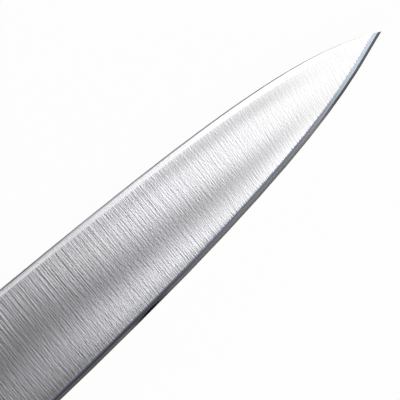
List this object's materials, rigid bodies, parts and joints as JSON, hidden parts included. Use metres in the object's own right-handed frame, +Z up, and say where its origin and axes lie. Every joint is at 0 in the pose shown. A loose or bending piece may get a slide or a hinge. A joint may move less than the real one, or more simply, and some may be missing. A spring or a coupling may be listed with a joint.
{
  "type": "paring knife",
  "caption": "Small forged kitchen knife for peeling and trimming: cross-ground pointed blade, waisted bolster and full tang between riveted black scales.",
  "frame": {"origin": "middle of the bottom of the bounding box; the knife lies on the flat of its left scale", "axes": "+X from the butt to the point, +Y towards the back of the blade, +Z up through the thickness, out of the blade's right face"},
  "size_m": [0.199, 0.0224, 0.014],
  "materials": {
    "blade_steel": "cross-ground satin, with a finer edge",
    "handle_black": "buffed satin",
    "rivet_steel": "ground flush"
  },
  "bodies": {
    "root": {"blade": "blade_steel", "scale_right": "handle_black", "scale_left": "handle_black", "front_rivet_shank": "rivet_steel", "front_rivet_sleeve": "rivet_steel", "middle_rivet_shank": "rivet_steel", "middle_rivet_sleeve": "rivet_steel", "rear_rivet_shank": "rivet_steel", "rear_rivet_sleeve": "rivet_steel"}
  },
  "joints": []
}
